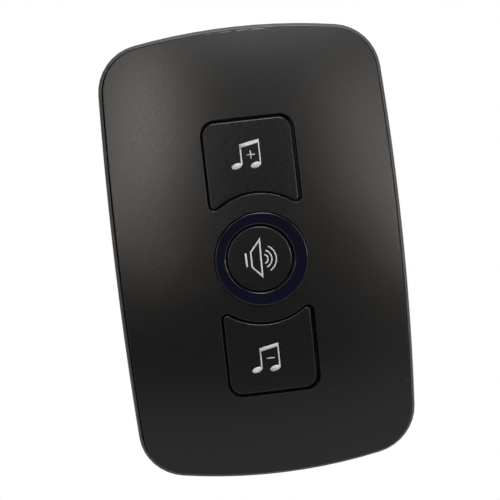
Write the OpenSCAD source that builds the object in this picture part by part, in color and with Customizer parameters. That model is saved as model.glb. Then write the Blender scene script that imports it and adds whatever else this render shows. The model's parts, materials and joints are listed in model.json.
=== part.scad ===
// Plug-in chime receiver of a wireless doorbell, with three press buttons and a light ring.
// Every piece is drawn lying face up: X to the right, Y up the face and Z out of the face, with the
// origin midway between the plug pins, on the end face of the plug. in_wall() then stands the part
// up, so that +Z is up, the face looks along -Y and the pins point along +Y into the wall.

/* [Case] */
// Width over the rim
body_w = 60; // [58:0.5:68]
// Height over the rim
body_h = 94.4; // [90:0.2:104]
// Depth from the crown of the face to the rear wall
body_d = 28; // [27:0.5:34]
// How far each long side bulges
side_bulge = 1.1; // [0.6:0.1:2]
// How far each end bulges
end_bulge = 3.5; // [2:0.1:5]
// Corner radius of the outline
corner_r = 9.9; // [8.5:0.1:12]
// Radius of the domed face
dome_r = 170; // [150:5:260]
// Thickness of the moulded walls
wall = 2.2; // [1.8:0.1:2.6]

/* [Rim] */
// Width of the rear housing's rim that shows round the front cover
ledge_w = 0.75; // [0.6:0.05:1]
// Width of the dark parting groove between rim and cover
groove_w = 0.2; // [0.15:0.05:0.35]
// How far the rim stands back from the edge of the face
rim_drop = 2; // [1.4:0.1:3]
// How deep the cover's skirt laps into the rear housing
lap = 3; // [2:0.2:4]
// Thickness of the cover's skirt
skirt_t = 1.2; // [1:0.05:1.25]
// How much the rear wall is smaller than the rim, on each side
back_inset = 3; // [2:0.2:4]
// Radius of the rounded rear edge
back_round = 3; // [2:0.2:4]

/* [Screw posts] */
// How far the case screws stand inside the centres of the corner arcs
post_inset = 1; // [0.6:0.1:1.6]
// Depth of the seat between cover and housing posts, from the crown of the face
seat_depth = 14; // [13:0.5:16]
// Radius of the front cover's screw posts
boss_r = 3; // [2.6:0.1:3.4]
// Radius of the screw wells in the rear housing
well_r = 2.8; // [2.7:0.1:3.2]
// Wall round the screw wells
well_wall = 1.2; // [1:0.1:1.4]
// Thickness of the shelf that a case screw clamps
shelf_t = 2; // [1.6:0.1:2.6]
// Shank radius of the case screws
screw_r = 1.3; // [1.1:0.05:1.5]
// Head radius of the case screws
head_r = 2.5; // [2.2:0.05:2.6]
// Length of a case screw under its head
screw_l = 8; // [7:0.5:8.5]

/* [Tune buttons] */
// Height of the controls' centre above the middle of the face
control_rise = -0.3; // [-1:0.1:1]
// Width of a tune button's opening
tune_w = 19.35; // [17:0.05:21]
// Distance of the opening's outer edge from the controls' centre
tune_reach = 28.7; // [27:0.1:30]
// Radius of the opening's hollow inner edge, round the controls' centre
tune_arc_r = 13.35; // [13:0.05:14.5]
// Radius of the opening's outer corners
tune_corner_r = 3.1; // [2.4:0.1:4]
// Radius of the opening's inner tips
tune_tip_r = 1.3; // [1.1:0.05:1.6]
// Gap round each tune cap
tune_gap = 0.5; // [0.35:0.05:0.7]
// Width of the flange that keeps a cap behind its opening
flange_w = 1; // [0.7:0.1:1.2]
// Thickness of the caps' flanges
flange_t = 1.1; // [0.8:0.1:1.4]
// Wall of the hollow caps
cap_wall = 1.6; // [1.2:0.1:2]
// Room between a cap's flange and its stop
stop_gap = 0.15; // [0.1:0.05:0.3]

/* [Volume button and light ring] */
// Radius of the round opening in the face
ring_hole_r = 9.6; // [9.4:0.05:10]
// Radial room round the light ring
ring_gap = 0.1; // [0.05:0.05:0.2]
// Bore radius of the light ring at the face
ring_bore_r = 7.3; // [7.1:0.05:7.6]
// How far the light ring stands above the crown of the face
ring_rise = 0.25; // [0:0.05:0.6]
// Chamfer on the ring's outer edge
ring_chamfer = 0.35; // [0.2:0.05:0.5]
// Thickness of the ring's inner land, over the volume cap's flange
land_t = 2.4; // [2:0.1:2.8]
// Width of the land
land_w = 0.8; // [0.6:0.05:1]
// Width of the ring's flange behind the cover
ring_flange_w = 1.5; // [1:0.1:1.8]
// Depth of the collar that the ring's flange seats on
collar_h = 1; // [0.8:0.1:1.4]
// Gap round the volume cap
volume_gap = 0.65; // [0.4:0.05:0.7]
// Room round the volume cap's flange
volume_slack = 0.3; // [0.2:0.05:0.35]
// Width of the key in the ring that keeps the volume cap from turning
key_w = 1.2; // [0.8:0.1:1.6]
// How far the key stands into the ring's counterbore
key_h = 0.8; // [0.6:0.05:0.85]
// Room round the key
key_gap = 0.2; // [0.1:0.05:0.25]
// Radius of the buttons' stems
stem_r = 1.6; // [1.3:0.1:1.7]
// Travel of each button
travel = 0.3; // [0.2:0.05:0.4]

/* [Board] */
// Depth of the board's front face from the crown of the face
board_depth = 10.5; // [10:0.25:12]
// Thickness of the board
board_t = 1.6; // [1.2:0.2:2]
// Room beside the board, to the outside of the case
board_side = 8; // [7:0.5:9]
// Room above and below the board, to the outside of the case
board_end = 17.2; // [16.6:0.2:18]
// Corner radius of the board
board_corner_r = 2; // [1:0.25:3]
// Distance of the board screws from the board's sides
board_screw_side = 3.5; // [3:0.25:4]
// Distance of the board screws from the board's ends
board_screw_end = 4; // [3.5:0.25:4.5]
// Radius of the cover's board posts
board_post_r = 2.4; // [2:0.1:2.6]
// Shank radius of the board screws
board_screw_r = 1; // [0.8:0.05:1.15]
// Length of a board screw under its head
board_screw_l = 6; // [5:0.25:6.5]
// Side of the square tactile switches
switch_w = 6; // [5.6:0.1:6.4]
// Height of a tactile switch's case
switch_case_h = 3.5; // [3:0.1:3.7]
// Height of a tactile switch with its plunger
switch_h = 5; // [4.6:0.1:5.4]
// Radius of a switch's plunger
plunger_r = 1.75; // [1.7:0.05:1.95]
// Thickness of a switch's floor
switch_floor = 0.8; // [0.6:0.1:1]
// Room round the plunger inside a switch
switch_room = 0.3; // [0.2:0.05:0.4]
// Thickness of a switch's steel cover
switch_cover_t = 0.3; // [0.2:0.05:0.4]
// Length of an indicator lamp
led_l = 2; // [1.6:0.1:2.2]
// Width of an indicator lamp
led_w = 1.25; // [0.8:0.05:1.4]
// Height of an indicator lamp
led_h = 0.8; // [0.5:0.05:1]
// Room between the lamps and the light ring
led_gap = 0.7; // [0.4:0.1:1]

/* [Plug] */
// Height of the plug above the middle of the face
plug_rise = 22; // [21:0.25:22.5]
// How far the plug's boss stands out of the rear wall
plug_h = 16; // [14:0.5:18]
// Width of the boss
plug_w = 35.3; // [34:0.1:36]
// Thickness of the boss
plug_t = 13.7; // [13:0.1:14]
// Radius of the boss's ends
plug_end_r = 4; // [3.5:0.1:5]
// Length of the flat stretch on the boss's long sides
plug_flat = 16; // [13:0.5:18]
// Distance between the pins
pin_pitch = 19; // [18.5:0.1:19.5]
// Radius of the bare pins
pin_r = 2; // [1.9:0.05:2.4]
// Length of the pins
pin_l = 19; // [17:0.5:20]
// Length of the sleeves on the pins
sleeve_l = 10; // [8:0.5:11]
// Outside radius of the sleeves
sleeve_r = 1.8; // [1.7:0.05:1.85]
// Radius of the pins inside their sleeves
core_r = 1.5; // [1.3:0.05:1.6]
// How deep a sleeve is let into the boss
sleeve_seat = 3; // [2:0.5:5]
// Chamfer on the pins' tips
pin_chamfer = 1.3; // [0.8:0.1:1.5]
// Radius of the pins' inner collars
collar_r = 2.8; // [2.4:0.1:3.2]
// Thickness of the pins' inner collars
collar_t = 1.2; // [0.8:0.1:1.6]
// Length of the pins' solder tails
tail_l = 2.4; // [1.8:0.2:2.8]
// Room round the boss in the rear wall
plug_gap = 0.15; // [0.1:0.05:0.3]
// Wall of the frame that the carrier's flange seats on
seat_wall = 1.6; // [1.2:0.1:1.8]
// Height of that frame and of its screw posts
seat_h = 3; // [2.6:0.2:3.4]
// Thickness of the carrier's flange
carrier_t = 2.5; // [2:0.1:2.8]
// Distance of the carrier's screws from the ends of the boss
ear_reach = 3.6; // [3.3:0.1:3.8]
// Radius of the carrier's ears and of the posts under them
ear_r = 2.5; // [2.2:0.1:2.6]
// Room between the ears and the side walls
ear_gap = 0.4; // [0.3:0.1:0.8]
// Shank radius of the plug screws
plug_screw_r = 1; // [0.8:0.05:1.1]
// Depth of the plug screws in their posts
plug_screw_bite = 3.6; // [3:0.2:3.8]

/* [Speaker] */
// Distance of the speaker's centre below the middle of the face
speaker_drop = 21; // [20.5:0.25:21.5]
// Radius of the speaker
speaker_r = 18; // [17.5:0.1:18.2]
// Thickness of the foam gasket
gasket_t = 0.8; // [0.5:0.1:1]
// Width of the gasket
gasket_w = 2; // [1.5:0.1:2.4]
// Thickness of the basket's rim
basket_rim_t = 1; // [0.8:0.1:1.2]
// Depth of the basket
basket_h = 5.6; // [5.2:0.1:6]
// Thickness of the basket's pressed sheet
sheet_t = 0.6; // [0.5:0.05:0.7]
// Radius of the magnet's steel pot
pot_r = 7.6; // [7.2:0.1:8]
// Depth of the pot behind the basket
pot_h = 3.4; // [3.2:0.1:3.8]
// Wall of the pot
pot_wall = 0.9; // [0.7:0.05:1]
// Radial gap in the pot that the voice coil works in
coil_gap = 1.5; // [1.4:0.05:1.7]
// Thickness of the voice coil
coil_t = 0.7; // [0.5:0.05:0.8]
// Thickness of the pole plate
pole_t = 0.8; // [0.7:0.05:1]
// Thickness of the cone
cone_t = 0.4; // [0.3:0.05:0.5]
// Width of the flexible surround
surround_w = 2.2; // [2:0.1:2.4]
// Width of the basket's front lip
lip_w = 2.6; // [2.2:0.1:2.8]
// How far the basket's wall stands in from its rim
rim_step = 1; // [0.8:0.1:1.2]
// Width of the flat ring round the pot on the basket's floor
basket_shelf = 2; // [1.8:0.1:2.4]
// Room between the cone's neck and the basket's floor
cone_room = 1; // [0.8:0.1:1.2]
// How far the voice coil reaches past the pole plate
coil_overhang = 0.4; // [0.2:0.05:0.5]
// Depth of the cone's hollow middle
cone_dish = 1.2; // [0.8:0.1:1.4]
// How much smaller the magnet is than the pole plate
magnet_step = 0.3; // [0.1:0.05:0.5]
// How far the cone travels each way
cone_travel = 0.4; // [0.2:0.05:0.45]
// How far the ring rib that centres the speaker stays below the top of its rim
rib_drop = 0.3; // [0.2:0.05:0.6]
// Wall of that rib
rib_wall = 1; // [0.8:0.1:1.2]
// Room round the speaker inside the rib
rib_gap = 0.2; // [0.1:0.05:0.3]
// Radius of the posts for the speaker screws
speaker_post_r = 2.2; // [2:0.1:2.3]
// Shank radius of the speaker screws
speaker_screw_r = 0.9; // [0.8:0.05:1]
// Radius of the washer heads of the speaker screws
washer_r = 3.4; // [3.2:0.1:3.6]
// Room between those heads and the side walls
washer_gap = 0.4; // [0.3:0.1:0.8]
// Height of each sound slot
slot_h = 1.6; // [1.2:0.1:1.8]
// Distance between sound slots
slot_pitch = 3.2; // [2.8:0.1:3.4]
// Number of sound slots
slot_count = 9; // [5:2:9]
// Radius of the slotted field
slot_field_r = 14.2; // [13.9:0.1:15]

/* [Parts on the board] */
// Length of the film capacitor
film_l = 18; // [16:0.5:18.5]
// Width of the film capacitor
film_w = 12.5; // [11:0.5:13]
// Height of the film capacitor
film_h = 8.5; // [7:0.5:8.5]
// Radius of the filter capacitor's can
can_r = 4; // [3.2:0.1:4]
// Length of the filter capacitor's can
can_l = 11.5; // [10:0.5:12]
// Mean radius of the aerial's coil
aerial_r = 2; // [1.8:0.1:2.1]
// Radius of the aerial's wire
aerial_wire_r = 0.3; // [0.25:0.05:0.35]
// Pitch of the aerial's turns
aerial_pitch = 1.3; // [1.2:0.05:1.4]
// Number of the aerial's turns
aerial_turns = 12; // [8:1:13]
// Radius of the insulated leads
lead_r = 0.6; // [0.5:0.05:0.65]

/* [Hidden] */
$fn = 64;
dome_fn = 200;
eps = 0.01;
arc_steps = 8;
side_steps = 10;
lead_steps = 12;
least_fillet = 0.4;

// Levels along the depth
rear_out = plug_h;
rear_in = rear_out + wall;
apex = rear_out + body_d;
dome_z = apex - dome_r;
board_front = apex - board_depth;
board_back = board_front - board_t;
case_seat = apex - seat_depth;
carrier_seat = rear_in + seat_h;
carrier_top = carrier_seat + carrier_t;
speaker_z = rear_in + gasket_t;
speaker_top = speaker_z + basket_rim_t;
plunger_top = board_front + switch_h;
collar_z = apex - wall - collar_h;
land_z = apex - land_t;

// Places up the face
body_y = -plug_rise;
control_y = body_y + control_rise;
speaker_y = body_y - speaker_drop;
tune_mid = (tune_arc_r + tune_reach) / 2;

// Outline of the case: four bulged sides and round corners, each an arc
rim_w = ledge_w + groove_w;
half_w = body_w / 2;
half_h = body_h / 2;
side_r = (pow(half_h, 2) + pow(side_bulge, 2)) / (2 * side_bulge);
end_r = (pow(half_w, 2) + pow(end_bulge, 2)) / (2 * end_bulge);
side_x = half_w - side_r;
end_y = half_h - end_r;
corner = arcs_meet(side_x, side_r - corner_r, end_y, end_r - corner_r);
side_angle = atan2(corner[1], corner[0] - side_x);
end_angle = atan2(corner[1] - end_y, corner[0]);

// Spheres that the face, its wall, the rim and the skirt follow
rim_sphere = dome_r - rim_drop;
skirt_sphere = rim_sphere - lap;
lap_gap = 0.1;
shelf_sphere = skirt_sphere - lap_gap;
corner_reach = norm(corner) + corner_r;
straight_z = dome_z + sqrt(pow(shelf_sphere, 2) - pow(corner_reach, 2)) - 0.5;

// Places of the fasteners
post_at = corner - [post_inset, post_inset];
post_r = well_r + well_wall;
board_w = body_w - 2 * board_side;
board_h = body_h - 2 * board_end;
board_screw_at = [board_w / 2 - board_screw_side, board_h / 2 - board_screw_end];
speaker_post_at = speaker_r + rib_gap + speaker_post_r;

// Half the width between the side walls, at a distance y from the middle of the case and at level z
function cavity_reach(y, z) =
    let (inset = wall + back_inset * (straight_z - z) / (straight_z - rear_in))
    side_x + sqrt(pow(side_r - inset, 2) - pow(y, 2));

// The carrier's ears stand beyond the ends of the boss, or closer to it in a narrower case
ear_x = min(plug_w / 2 + ear_reach, cavity_reach(plug_rise, carrier_seat) - ear_r - ear_gap);

// The outer speaker screws stand beside the speaker, or further up round it in a narrower case
speaker_post_room = cavity_reach(speaker_drop, speaker_top) - washer_r - washer_gap;
side_post_angle = acos(min(1, speaker_post_room / speaker_post_at));
speaker_post_angles = [side_post_angle, 120, 180 - side_post_angle];
hole_gap = 0.15;
hole_spare = 0.2;
cross_l = 1.2;
cross_w = 0.22;
head_h = 1.8;
board_head_r = 1.9;
board_head_h = 1.4;
plug_head_r = 1.9;
washer_h = 1.4;
speaker_screw_bite = 3.2;

// Sizes of the speaker's pieces, as radii and as depths behind its mounting face
rim_inner = speaker_r - lip_w;
basket_wall_r = speaker_r - rim_step;
surround_r = basket_wall_r - sheet_t;
cone_r = surround_r - surround_w;
coil_bore_r = pot_r - pot_wall;
pole_r = coil_bore_r - coil_gap;
coil_mid = (coil_bore_r + pole_r) / 2;
coil_top = basket_h + pole_t + coil_overhang;
cone_back = basket_h - sheet_t - cone_room;
cone_front = sheet_t + cone_t / 2;
basket_floor_r = pot_r + basket_shelf;
lead_foot_r = pot_r + basket_shelf / 2;
pot_floor = basket_h + pot_h - pot_wall;

// Sizes of the light ring and the volume button
ring_r = ring_hole_r - ring_gap;
ring_counterbore_r = ring_bore_r + land_w;
ring_flange_r = ring_hole_r + ring_flange_w;
ring_end = board_front + led_h + led_gap;
led_at = (ring_counterbore_r + ring_r) / 2;
volume_r = ring_bore_r - volume_gap;
volume_flange_r = ring_counterbore_r - volume_slack;
volume_flange_z = land_z - stop_gap - flange_t;

// Places of the parts on the back of the board, from the middle of the board
part_gap = 1;
aerial_side = 3;
chip_side = 10;
lead_side = 7;
speaker_lead_side = 10;
aerial_at = [aerial_side - board_w / 2, -1];
aerial_edge = aerial_at[0] + aerial_r + aerial_wire_r;
can_at = [aerial_edge + part_gap + can_l / 2, 6.5];
film_at = [can_at[0] + can_l / 2 + part_gap + film_l / 2, 5];
bridge_at = [-3, 17];
fuse_at = [9, 15.5];
chip_at = [board_w / 2 - chip_side, -10];
bridge_size = [4.7, 4, 2.5];
fuse_size = [1.5, 8];
chip_size = [9.9, 3.9, 1.5];
module_size = [11, 8, 1];
module_at = [aerial_edge + part_gap + module_size[0] / 2, -9.5];
module_drop = 2.6;
shield_size = [6, 4, 1.2];
leg_pitch = 2.54;
leg_r = 0.35;
leg_edge = 1;
chip_leg = [0.4, 1.1, 0.25];
chip_leg_pitch = 1.27;
film_fillet = 0.8;
can_chamfer = 0.4;
can_groove_at = 2;
aerial_lift = 1.2;
lead_pad = [board_w / 2 - lead_side, 19];
speaker_pad = [board_w / 2 - speaker_lead_side, -18];

// Points and outlines

function arc(centre, r, from, to, steps) =
    [for (i = [0:steps]) let (a = from + (to - from) * i / steps) centre + r * [cos(a), sin(a)]];

// An arc without its last point, which is the first of the arc that follows
function run(centre, r, from, to, steps) = [for (i = [0:steps - 1]) arc(centre, r, from, to, steps)[i]];

// Where a circle about [x, 0] and one about [0, y] meet, in the first quadrant
function arcs_meet(x, rx, y, ry) =
    let (d = norm([x, y]), along = (rx * rx - ry * ry + d * d) / (2 * d), off = sqrt(rx * rx - along * along))
    let (u = [-x, y] / d)
    [x, 0] + along * u + off * [-u[1], u[0]];

// Outline of the case, drawn in by inset
function case_outline(inset) = concat(
    run([side_x, 0], side_r - inset, -side_angle, side_angle, side_steps),
    run(corner, corner_r - inset, side_angle, end_angle, arc_steps),
    run([0, end_y], end_r - inset, end_angle, 180 - end_angle, side_steps),
    run([-corner[0], corner[1]], corner_r - inset, 180 - end_angle, 180 - side_angle, arc_steps),
    run([-side_x, 0], side_r - inset, 180 - side_angle, 180 + side_angle, side_steps),
    run(-corner, corner_r - inset, 180 + side_angle, 180 + end_angle, arc_steps),
    run([0, -end_y], end_r - inset, 180 + end_angle, 360 - end_angle, side_steps),
    run([corner[0], -corner[1]], corner_r - inset, 360 - end_angle, 360 - side_angle, arc_steps)
);

// Outline of a tune button above the controls' centre, drawn in by inset
function tune_outline(inset) =
    let (w = tune_w / 2 - inset, reach = tune_reach - inset, hollow = tune_arc_r + inset)
    let (corner_fillet = max(tune_corner_r - inset, least_fillet))
    let (tip = max(tune_tip_r - inset, least_fillet))
    let (tip_x = w - tip, tip_y = sqrt(pow(hollow + tip, 2) - pow(tip_x, 2)), meet = atan2(tip_y, tip_x))
    concat(
        arc([tip_x, tip_y], tip, 180 + meet, 360, arc_steps),
        arc([w - corner_fillet, reach - corner_fillet], corner_fillet, 0, 90, arc_steps),
        arc([corner_fillet - w, reach - corner_fillet], corner_fillet, 90, 180, arc_steps),
        run([-tip_x, tip_y], tip, 180, 360 - meet, arc_steps),
        run([0, 0], hollow, 180 - meet, meet, 2 * arc_steps)
    );

// Outline of the plug's boss, grown by grow: flat long sides that run out to round ends
function plug_outline(grow) =
    let (end = plug_end_r + grow, middle = [plug_w / 2 - plug_end_r, 0])
    let (flat = [plug_flat / 2, plug_t / 2 + grow])
    let (away = flat - middle, tangent = atan2(away[1], away[0]) - acos(end / norm(away)))
    concat(
        arc(middle, end, -tangent, tangent, arc_steps), [flat, [-flat[0], flat[1]]],
        arc(-middle, end, 180 - tangent, 180 + tangent, arc_steps), [-flat, [flat[0], -flat[1]]]
    );

function rounded_rectangle(w, h, r) = concat(
    arc([w / 2 - r, h / 2 - r], r, 0, 90, arc_steps),
    arc([r - w / 2, h / 2 - r], r, 90, 180, arc_steps),
    arc([r - w / 2, r - h / 2], r, 180, 270, arc_steps),
    arc([w / 2 - r, r - h / 2], r, 270, 360, arc_steps)
);

// Solid through a stack of outlines, each [height, inset] of the case's outline
module case_loft(levels) {
    count = len(case_outline(0));
    last = (len(levels) - 1) * count;
    points = [for (level = levels) for (p = case_outline(level[1])) [p[0], p[1], level[0]]];
    sides = [for (k = [0:len(levels) - 2]) for (i = [0:count - 1])
        [k * count + i, (k + 1) * count + i, (k + 1) * count + (i + 1) % count, k * count + (i + 1) % count]];
    floor = [[for (i = [0:count - 1]) i]];
    roof = [[for (i = [0:count - 1]) last + count - 1 - i]];
    polyhedron(points, concat(floor, sides, roof));
}

// Round tube along a list of points, with its rings square to the path
module tube(path, r, sides) {
    last = len(path) - 1;
    function along(i) = path[min(i + 1, last)] - path[max(i - 1, 0)];
    function across(i) =
        let (t = along(i) / norm(along(i)), help = abs(t[1]) < 0.9 ? [0, 1, 0] : [1, 0, 0])
        let (u = cross(t, help))
        [u / norm(u), cross(t, u / norm(u))];
    points = [for (i = [0:last]) let (frame = across(i)) for (k = [0:sides - 1])
        path[i] + r * (cos(360 * k / sides) * frame[0] + sin(360 * k / sides) * frame[1])];
    walls = [for (i = [0:last - 1]) for (k = [0:sides - 1])
        let (a = i * sides + k, b = i * sides + (k + 1) % sides)
        each [[a, b, a + sides], [b, b + sides, a + sides]]];
    ends = [[for (k = [0:sides - 1]) sides - 1 - k], [for (k = [0:sides - 1]) last * sides + k]];
    polyhedron(points, concat(walls, ends));
}

// A lead's path between two pads that face each other along Z: square to both, with an S between
function lead_path(from, to) =
    let (stub = [0, 0, (to[2] - from[2]) / 10], way = to - from - 2 * stub)
    concat([from],
        [for (i = [0:lead_steps]) let (s = i / lead_steps, shift = s * s * (3 - 2 * s))
            from + stub + [way[0] * shift, way[1] * shift, way[2] * s]],
        [to]);

// Shared shapes

module in_wall() rotate([90, 0, 0]) children();
module at_body(z = 0) translate([0, body_y, z]) children();
module at_controls(z = 0) translate([0, control_y, z]) children();
module at_speaker(z = 0) translate([0, speaker_y, z]) children();
module at_speaker_posts(z) for (angle = speaker_post_angles)
    at_speaker(z) rotate(angle) translate([speaker_post_at, 0, 0]) children();
module sign_pairs(at) for (x = [-1, 1]) for (y = [-1, 1]) translate([x * at[0], y * at[1], 0]) children();

// Ball of radius r about the centre of the domed face, with its poles off the face
module dome(r) at_body(dome_z) rotate([90, 0, 0]) sphere(r, $fn = dome_fn);

module case_prism(inset, from, to)
    at_body(from) linear_extrude(to - from) polygon(case_outline(inset));

module tune_prism(inset, turn, from, to)
    at_controls(from) rotate(turn) linear_extrude(to - from) polygon(tune_outline(inset));

module screw(shank_r, length, cap_r, cap_h) {
    cylinder(h = length, r = shank_r);
    difference() {
        translate([0, 0, -cap_h]) cylinder(h = cap_h, r = cap_r);
        for (turn = [0, 90])
            rotate(turn) translate([0, 0, -cap_h - eps])
                linear_extrude(cap_h / 2) square([cross_l * cap_r, cross_w * cap_r], center = true);
    }
}

// Case

module front_cover() color("#1d1e20") difference() {
    union() {
        difference() {
            intersection() {
                case_prism(rim_w, straight_z, apex + 1);
                dome(dome_r);
            }
            intersection() {
                case_prism(rim_w + skirt_t, straight_z - 1, apex + 1);
                dome(dome_r - wall);
            }
            dome(skirt_sphere);
        }
        intersection() {
            dome(dome_r - wall / 2);
            union() {
                at_body(case_seat) sign_pairs(post_at) cylinder(h = body_d, r = boss_r);
                at_body(board_front) sign_pairs(board_screw_at) cylinder(h = body_d, r = board_post_r);
                at_controls(collar_z) cylinder(h = body_d, r = ring_flange_r + stop_gap);
            }
        }
    }
    at_controls(board_front) cylinder(h = body_d, r = ring_hole_r);
    for (turn = [0, 180]) tune_prism(0, turn, board_front, apex + 1);
    at_body(case_seat - eps) sign_pairs(post_at) cylinder(h = screw_l - shelf_t + hole_spare, r = screw_r);
    at_body(board_front - eps) sign_pairs(board_screw_at)
        cylinder(h = board_screw_l - board_t + hole_spare, r = board_screw_r);
}

// Levels of the rounded rear edge, drawn in by inset
function back_edge(inset) = [for (t = [0:30:90])
    [rear_out + back_round * (1 - cos(t)), inset + back_inset + back_round * (1 - sin(t))]];

module rear_housing() color("#26272a") difference() {
    union() {
        intersection() {
            difference() {
                at_body() case_loft(concat(back_edge(0), [[straight_z, 0], [apex, 0]]));
                at_body() case_loft([[rear_in, back_inset + wall], [straight_z, wall], [apex + 1, wall]]);
                difference() {
                    case_prism(ledge_w, straight_z - 2, apex + 1);
                    dome(shelf_sphere);
                }
            }
            dome(rim_sphere);
        }
        intersection() {
            at_body() case_loft(concat(back_edge(wall / 2), [[straight_z, wall / 2], [apex, wall / 2]]));
            union() {
                at_body(rear_out) sign_pairs(post_at) cylinder(h = case_seat - rear_out, r = post_r);
                translate([0, 0, rear_out]) linear_extrude(carrier_seat - rear_out)
                    polygon(plug_outline(plug_gap + seat_wall));
                for (x = [-ear_x, ear_x]) translate([x, 0, rear_out])
                    cylinder(h = carrier_seat - rear_out, r = ear_r);
                at_speaker(rear_out)
                    cylinder(h = speaker_top - rib_drop - rear_out, r = speaker_r + rib_gap + rib_wall);
                at_speaker_posts(rear_out) cylinder(h = speaker_top - rear_out, r = speaker_post_r);
            }
        }
    }
    at_speaker(rear_in) cylinder(h = body_d, r = speaker_r + rib_gap);
    translate([0, 0, rear_out - 1]) linear_extrude(body_d) polygon(plug_outline(plug_gap));
    at_body(rear_out - 1) sign_pairs(post_at) cylinder(h = case_seat - shelf_t - rear_out + 1, r = well_r);
    at_body(rear_out) sign_pairs(post_at) cylinder(h = body_d, r = screw_r + hole_gap);
    for (x = [-ear_x, ear_x]) translate([x, 0, carrier_seat - plug_screw_bite - hole_spare])
        cylinder(h = body_d, r = plug_screw_r);
    at_speaker_posts(speaker_top - speaker_screw_bite - hole_spare) cylinder(h = body_d, r = speaker_screw_r);
    for (k = [0:slot_count - 1]) sound_slot((k - (slot_count - 1) / 2) * slot_pitch);
}

// One sound slot, as long as the round field allows at its height
module sound_slot(y) at_speaker(rear_out - 1) linear_extrude(wall + 2) {
    reach = sqrt(pow(slot_field_r, 2) - pow(y, 2)) - slot_h / 2;
    translate([-reach, y - slot_h / 2]) square([2 * reach, slot_h]);
    for (x = [-reach, reach]) translate([x, y]) circle(slot_h / 2);
}

module case_screws() color("#8c8f93")
    at_body(case_seat - shelf_t) sign_pairs(post_at) screw(screw_r, screw_l, head_r, head_h);

// Plug

module plug_carrier() color("#222326") difference() {
    union() {
        linear_extrude(carrier_top) polygon(plug_outline(0));
        translate([0, 0, carrier_seat]) linear_extrude(carrier_t) polygon(plug_outline(seat_wall));
        for (x = [-1, 1]) {
            translate([x * ear_x, 0, carrier_seat]) cylinder(h = carrier_t, r = ear_r);
            translate([x * ear_x / 2 - ear_x / 2, -ear_r, carrier_seat]) cube([ear_x, 2 * ear_r, carrier_t]);
        }
    }
    for (x = [-1, 1]) {
        translate([x * pin_pitch / 2, 0, -1]) cylinder(h = body_d, r = core_r);
        translate([x * pin_pitch / 2, 0, -1]) cylinder(h = sleeve_seat + 1, r = sleeve_r);
        translate([x * ear_x, 0, 0]) cylinder(h = body_d, r = plug_screw_r + hole_gap);
    }
}

module plug_screws() color("#8c8f93")
    for (x = [-ear_x, ear_x]) translate([x, 0, carrier_top]) rotate([180, 0, 0])
        screw(plug_screw_r, carrier_t + plug_screw_bite, plug_head_r, board_head_h);

module plug_pin(side) color("#c8c4b4") translate([side * pin_pitch / 2, 0, 0]) {
    translate([0, 0, -sleeve_l - eps]) cylinder(h = carrier_top + sleeve_l + eps, r = core_r);
    translate([0, 0, -pin_l + pin_chamfer]) cylinder(h = pin_l - sleeve_l - pin_chamfer, r = pin_r);
    translate([0, 0, -pin_l]) cylinder(h = pin_chamfer, r1 = pin_r - pin_chamfer, r2 = pin_r);
    translate([0, 0, carrier_top]) cylinder(h = collar_t, r = collar_r);
    translate([0, 0, carrier_top + collar_t - eps]) cylinder(h = tail_l + eps, r = lead_r);
}

module pin_sleeve(side) color("#18191a") translate([side * pin_pitch / 2, 0, -sleeve_l]) difference() {
    cylinder(h = sleeve_l + sleeve_seat, r = sleeve_r);
    translate([0, 0, -1]) cylinder(h = sleeve_l + sleeve_seat + 2, r = core_r);
}

// A mains lead from a pin's tail in a shallow S to its pad on the board
module mains_lead(side, tint) color(tint) {
    tail = [side * pin_pitch / 2, 0, carrier_top + collar_t + tail_l];
    pad = [side * lead_pad[0], body_y + lead_pad[1], board_back];
    tube(lead_path(tail, pad), lead_r, 8);
}

// Controls

module light_ring() color("#16193c") at_controls() {
    rotate_extrude() polygon([
        [ring_bore_r + ring_chamfer / 2, apex + ring_rise],
        [ring_r - ring_chamfer, apex + ring_rise],
        [ring_r, apex + ring_rise - ring_chamfer],
        [ring_r, collar_z],
        [ring_flange_r, collar_z],
        [ring_flange_r, collar_z - flange_t],
        [ring_r, collar_z - flange_t],
        [ring_r, ring_end],
        [ring_counterbore_r, ring_end],
        [ring_counterbore_r, land_z],
        [ring_bore_r, land_z],
        [ring_bore_r, apex + ring_rise - ring_chamfer / 2]
    ]);
    translate([-key_w / 2, -ring_counterbore_r - ring_gap, ring_end])
        cube([key_w, key_h + ring_gap, land_z - ring_end + eps]);
}

// Cap of the volume button: a hollow crown with a flange and a stem, turned about the controls' centre
module volume_button() color("#1d1e20") at_controls() difference() {
    rotate_extrude() polygon(concat(
        [
            [0, plunger_top],
            [stem_r, plunger_top],
            [stem_r, apex - cap_wall],
            [volume_r - cap_wall, apex - cap_wall],
            [volume_r - cap_wall, volume_flange_z],
            [volume_flange_r, volume_flange_z],
            [volume_flange_r, volume_flange_z + flange_t],
            [volume_r, volume_flange_z + flange_t]
        ],
        arc([0, dome_z], dome_r, acos(volume_r / dome_r), 90, arc_steps)
    ));
    translate([0, -ring_counterbore_r, volume_flange_z - eps]) linear_extrude(flange_t + 2 * eps)
        square([key_w + 2 * key_gap, 2 * (key_h + key_gap)], center = true);
}

// Cap of a tune button: a hollow crown that follows the face, a flange behind the wall and a stem
module tune_button(turn) color("#1d1e20") {
    flange_top = dome_r - wall - stop_gap;
    difference() {
        union() {
            intersection() {
                tune_prism(tune_gap, turn, board_front, apex + 1);
                dome(dome_r);
            }
            intersection() {
                tune_prism(-flange_w, turn, board_front, apex + 1);
                dome(flange_top);
            }
        }
        dome(flange_top - flange_t);
        intersection() {
            tune_prism(tune_gap + cap_wall, turn, board_front - 1, apex + 1);
            dome(dome_r - cap_wall);
        }
    }
    intersection() {
        at_controls(plunger_top) rotate(turn) translate([0, tune_mid, 0]) cylinder(h = body_d, r = stem_r);
        dome(dome_r - cap_wall / 2);
    }
}

module at_switch(step) at_controls(board_front) translate([0, step * tune_mid, 0]) children();

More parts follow.
